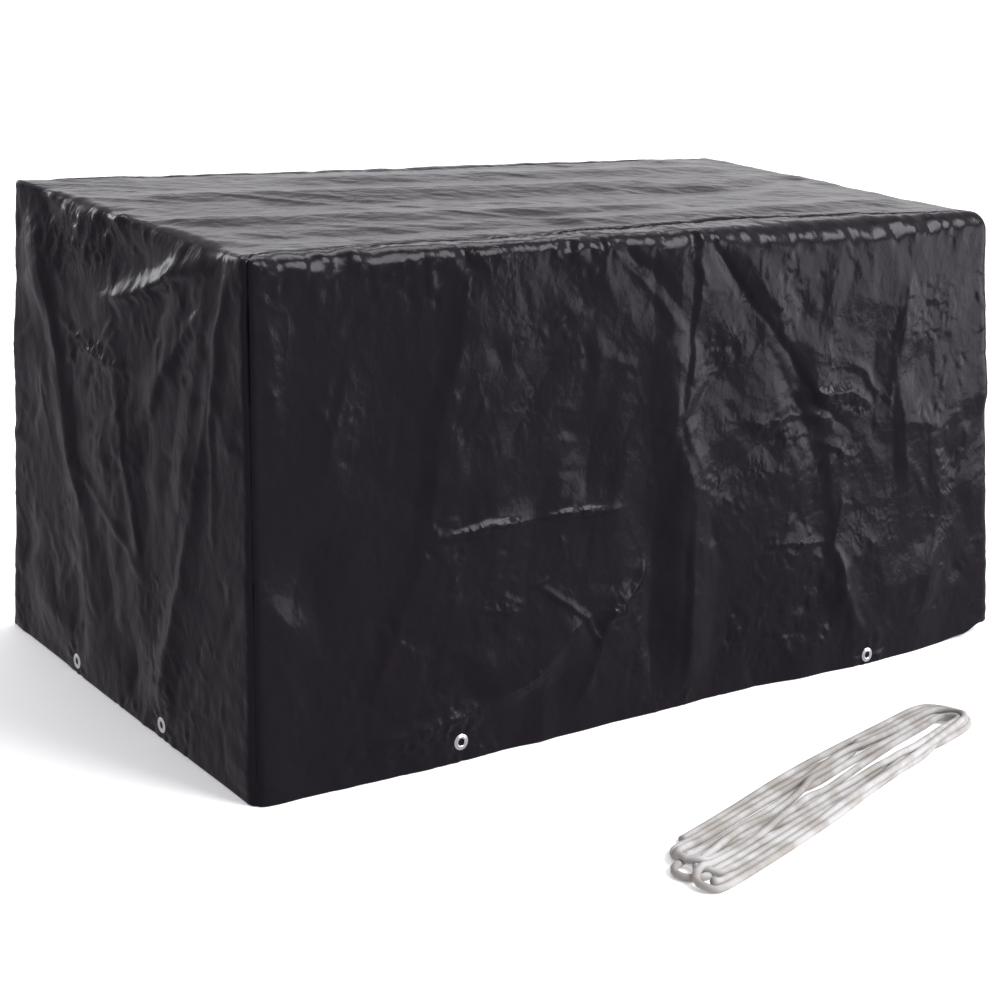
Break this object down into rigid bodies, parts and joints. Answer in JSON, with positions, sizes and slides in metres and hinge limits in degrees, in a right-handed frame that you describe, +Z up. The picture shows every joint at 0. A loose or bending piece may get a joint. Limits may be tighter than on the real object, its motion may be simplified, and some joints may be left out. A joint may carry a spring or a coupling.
{
  "type": "fitted patio furniture cover with tie rope",
  "caption": "Black box-shaped cover in woven plastic sheet, hanging creased to the floor, with metal eyelets in its folded hem and a coiled white tie rope beside it.",
  "frame": {"origin": "on the floor, under the middle of the cover", "axes": "+X along the long side to the right, the front faces -Y, +Z up"},
  "size_m": [1.6496, 1.4248, 0.8062],
  "materials": {
    "sheet": "glossy woven plastic sheet",
    "hem": "folded woven plastic sheet",
    "eyelet": "zinc plated",
    "rope": "braided cord"
  },
  "bodies": {
    "root": {"centre_panel": "sheet", "front_panel": "sheet", "back_panel": "sheet", "hem_front": "hem", "hem_back": "hem", "hem_left": "hem", "hem_right": "hem", "eyelet_back_left": "eyelet", "eyelet_back_right": "eyelet", "eyelet_front_left": "eyelet", "eyelet_front_right": "eyelet", "eyelet_left_back": "eyelet", "eyelet_left_front": "eyelet", "eyelet_right_back": "eyelet", "eyelet_right_front": "eyelet", "rope_hank": "rope"}
  },
  "joints": []
}
